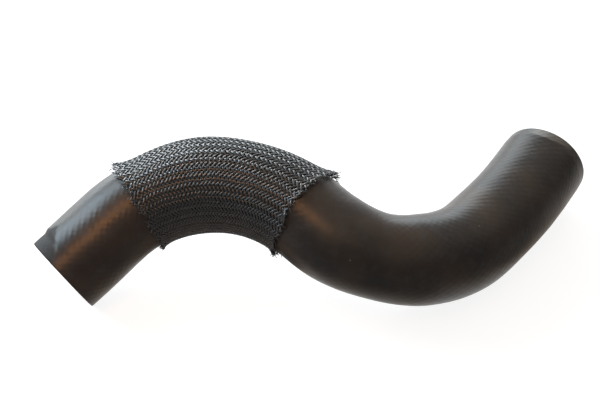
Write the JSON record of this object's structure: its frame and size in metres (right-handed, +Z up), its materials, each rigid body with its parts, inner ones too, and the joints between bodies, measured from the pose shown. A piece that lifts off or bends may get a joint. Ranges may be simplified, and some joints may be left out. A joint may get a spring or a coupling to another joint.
{
  "type": "charge air hose",
  "caption": "Moulded rubber charge air hose with offset bends, open plain ends that push over pipes, and a cut length of braided sleeve over one bend.",
  "frame": {"origin": "on the surface that the hose lies on, under the middle of its box", "axes": "+Z up; +X along the greatest length, from the end with the clamp seat towards the plain end, with the first leg lying above the X direction; +Y completes the right hand"},
  "size_m": [0.361, 0.2096, 0.1],
  "materials": {
    "hose_rubber": "satin near-black moulded rubber with a faint brown cast and cloth imprint",
    "sleeve_braid": "black braided yarn with a silvery gloss on each float"
  },
  "bodies": {
    "root": {"hose": "hose_rubber", "braided_sleeve": "sleeve_braid"}
  },
  "joints": []
}
